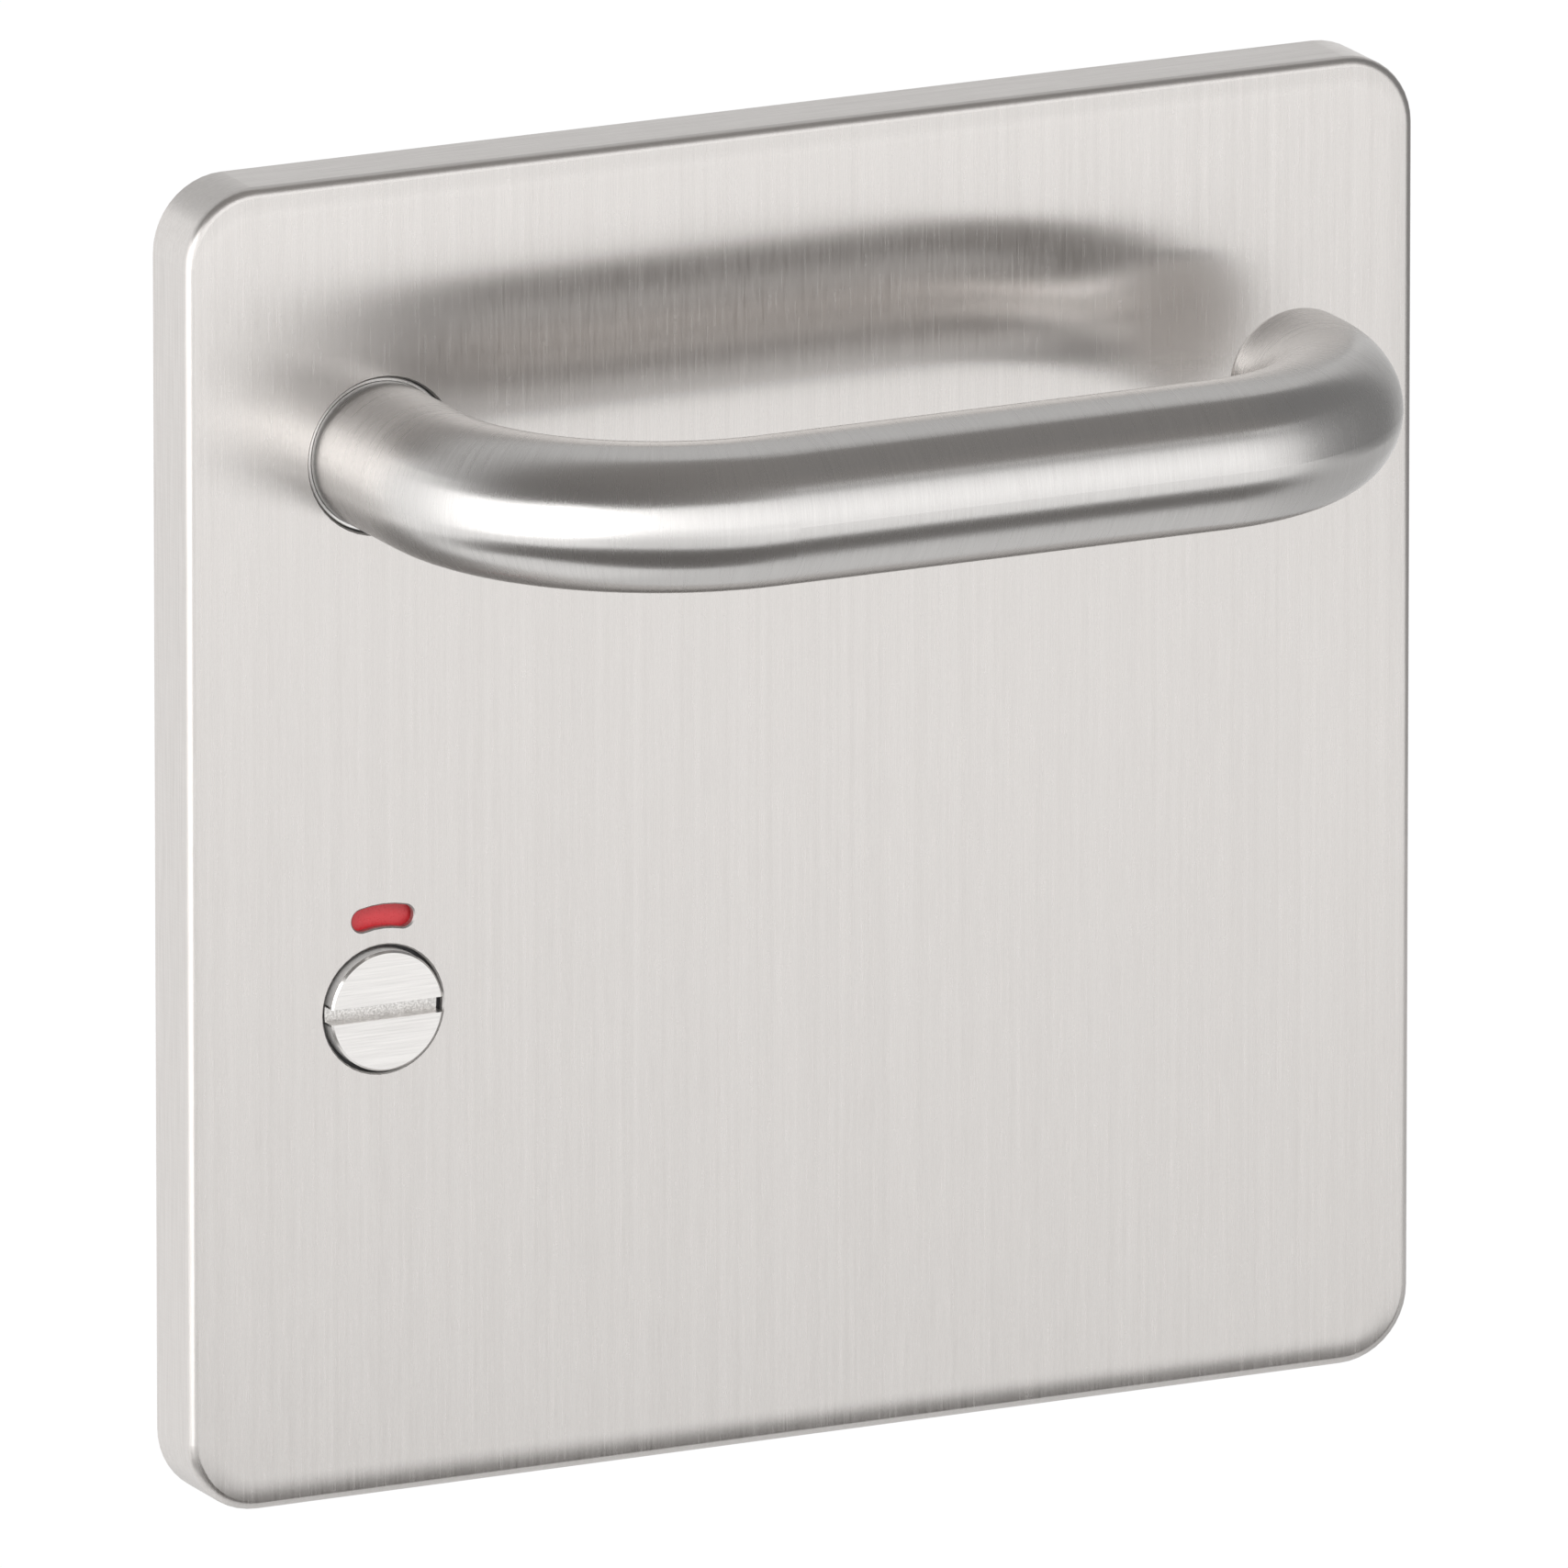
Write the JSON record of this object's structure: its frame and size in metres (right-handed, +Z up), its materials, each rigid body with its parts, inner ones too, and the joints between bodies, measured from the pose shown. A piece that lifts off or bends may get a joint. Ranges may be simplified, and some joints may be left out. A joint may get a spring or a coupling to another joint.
{
  "type": "bathroom door handle set",
  "caption": "Square satin cover plate with a return-to-door tubular lever, a slotted emergency release disc and a kidney-shaped red indicator window.",
  "frame": {"origin": "middle of the plate's back, on the door face", "axes": "+Z up the door, +X from the neck towards the lever's free end, +Y into the door; the front faces -Y"},
  "size_m": [0.172, 0.111, 0.172],
  "materials": {
    "plate_steel": "satin stainless, fine upright brushing",
    "bar_steel": "satin stainless, scratches round the bar",
    "sleeve_steel": "turned stainless",
    "disc_steel": "satin stainless, fine level brushing",
    "turned_steel": "turned stainless",
    "zinc_steel": "bright zinc plate",
    "spring_steel": "oiled spring steel",
    "black_screw": "black oxide",
    "chassis_nylon": "black glass-filled nylon",
    "carrier_nylon": "black moulded nylon",
    "indicator_red_plastic": "red moulded plastic",
    "indicator_white_plastic": "white moulded plastic"
  },
  "bodies": {
    "plate": {"cover_plate": "plate_steel", "chassis": "chassis_nylon", "neck_bearing_sleeve": "sleeve_steel", "neck_thrust_washer": "zinc_steel", "neck_spring_washer": "spring_steel", "return_spring": "spring_steel", "detent_clip": "spring_steel", "release_washer": "zinc_steel", "bolt_posts": "zinc_steel", "cover_clips": "spring_steel"},
    "lever": {"lever_bar": "bar_steel", "lever_end_cap": "bar_steel", "lever_shank": "turned_steel", "lever_spindle": "zinc_steel", "lever_grub_screw": "black_screw", "spring_driver": "zinc_steel", "neck_retaining_ring": "spring_steel"},
    "release": {"release_disc": "disc_steel", "release_spindle": "zinc_steel", "release_retaining_ring": "spring_steel", "indicator_carrier": "carrier_nylon", "indicator_red": "indicator_red_plastic", "indicator_white": "indicator_white_plastic"}
  },
  "joints": [
    {"name": "lever_turn", "type": "hinge", "parent": "plate", "child": "lever", "pos_m": [-0.059, 0, 0.0495], "axis": [0, 1, 0], "range_deg": [0, 45], "stiffness_Nm_per_rad": 1, "springref_deg": -22.92, "deforming": ["return_spring"]},
    {"name": "release_turn", "type": "hinge", "parent": "plate", "child": "release", "pos_m": [-0.059, 0, -0.0225], "axis": [0, 1, 0], "range_deg": [0, 90], "deforming": ["detent_clip"]}
  ]
}
